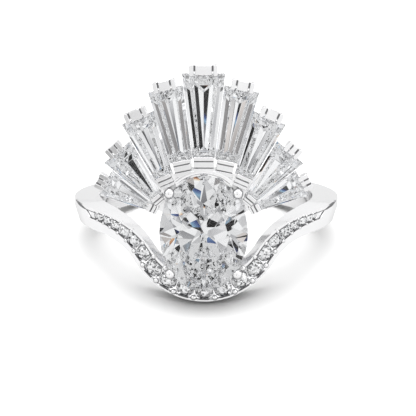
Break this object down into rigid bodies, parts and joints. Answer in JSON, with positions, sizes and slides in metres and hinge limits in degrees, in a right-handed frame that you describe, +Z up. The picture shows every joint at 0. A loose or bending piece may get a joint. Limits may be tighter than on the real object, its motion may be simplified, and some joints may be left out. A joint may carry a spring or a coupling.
{
  "type": "baguette diamond ring",
  "caption": "Finger ring with a fan of tapered baguette diamonds over a claw-set oval diamond, on a curved band set with graduated small diamonds.",
  "frame": {"origin": "centre of the bounding box's bottom face, on the surface that the ring rests on", "axes": "+Y from the head towards the back of the band, -Y the side the stones face, +Z up, +X to the right seen from the front"},
  "size_m": [0.021, 0.0234, 0.0171],
  "materials": {
    "white_metal": "polished white precious metal",
    "diamond": "clear, faceted and polished"
  },
  "bodies": {
    "root": {"setting": "white_metal", "oval_diamond": "diamond", "baguette_1": "diamond", "baguette_2": "diamond", "baguette_3": "diamond", "baguette_4": "diamond", "baguette_5": "diamond", "baguette_6": "diamond", "baguette_7": "diamond", "baguette_8": "diamond", "baguette_9": "diamond", "small_diamonds": "diamond"}
  },
  "joints": []
}
